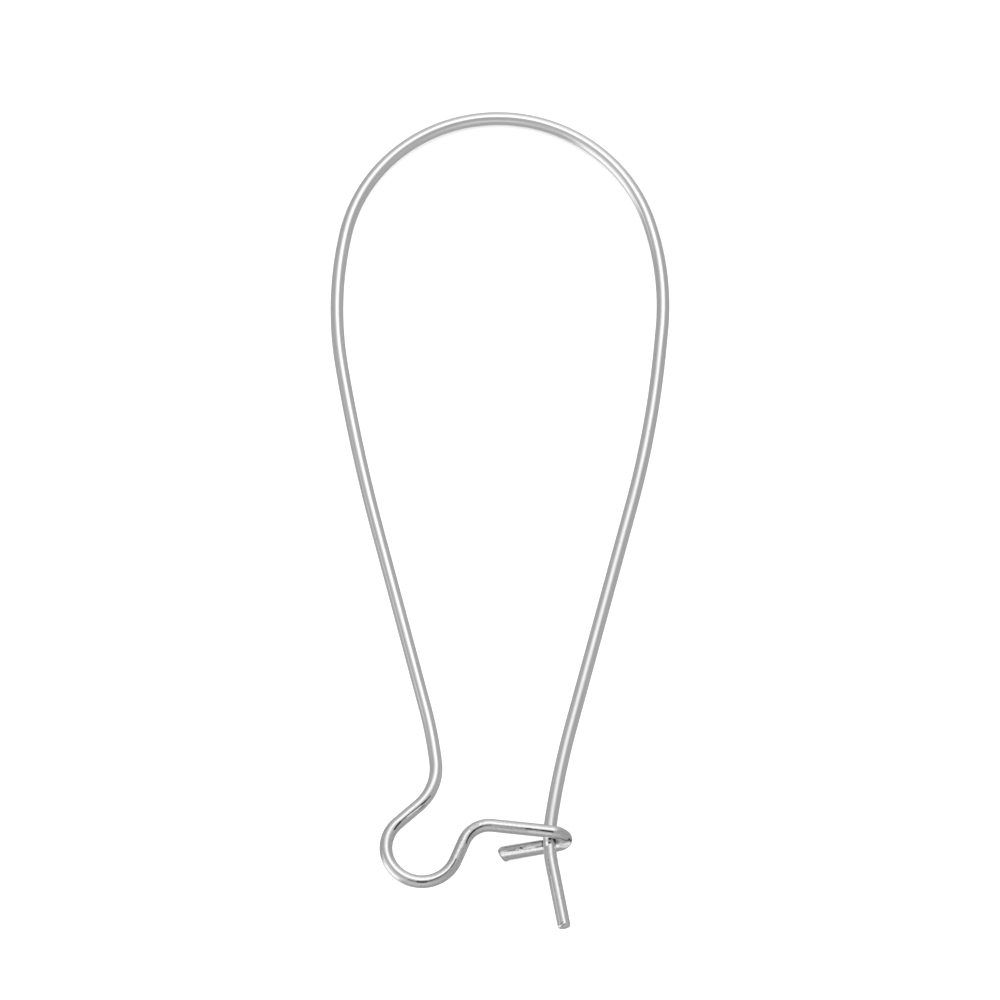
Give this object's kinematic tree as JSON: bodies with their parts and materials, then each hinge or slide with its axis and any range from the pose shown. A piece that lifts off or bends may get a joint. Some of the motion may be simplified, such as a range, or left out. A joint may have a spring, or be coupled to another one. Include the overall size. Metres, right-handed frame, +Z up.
{
  "type": "kidney ear wire",
  "caption": "Long kidney-shaped ear wire bent from round plated wire, with an open bead loop beside a hooked catch that holds the sprung pin leg; lies on its back with the catch closed.",
  "frame": {"origin": "on the table, under the middle of the ear wire as it lies", "axes": "+X across the loop towards the pin leg, +Y from the catch towards the crown, +Z up from the table"},
  "size_m": [0.019, 0.0472, 0.0046],
  "materials": {
    "silver_plate": "bright silver plating over drawn wire"
  },
  "bodies": {
    "root": {"ear_wire": "silver_plate"}
  },
  "joints": []
}
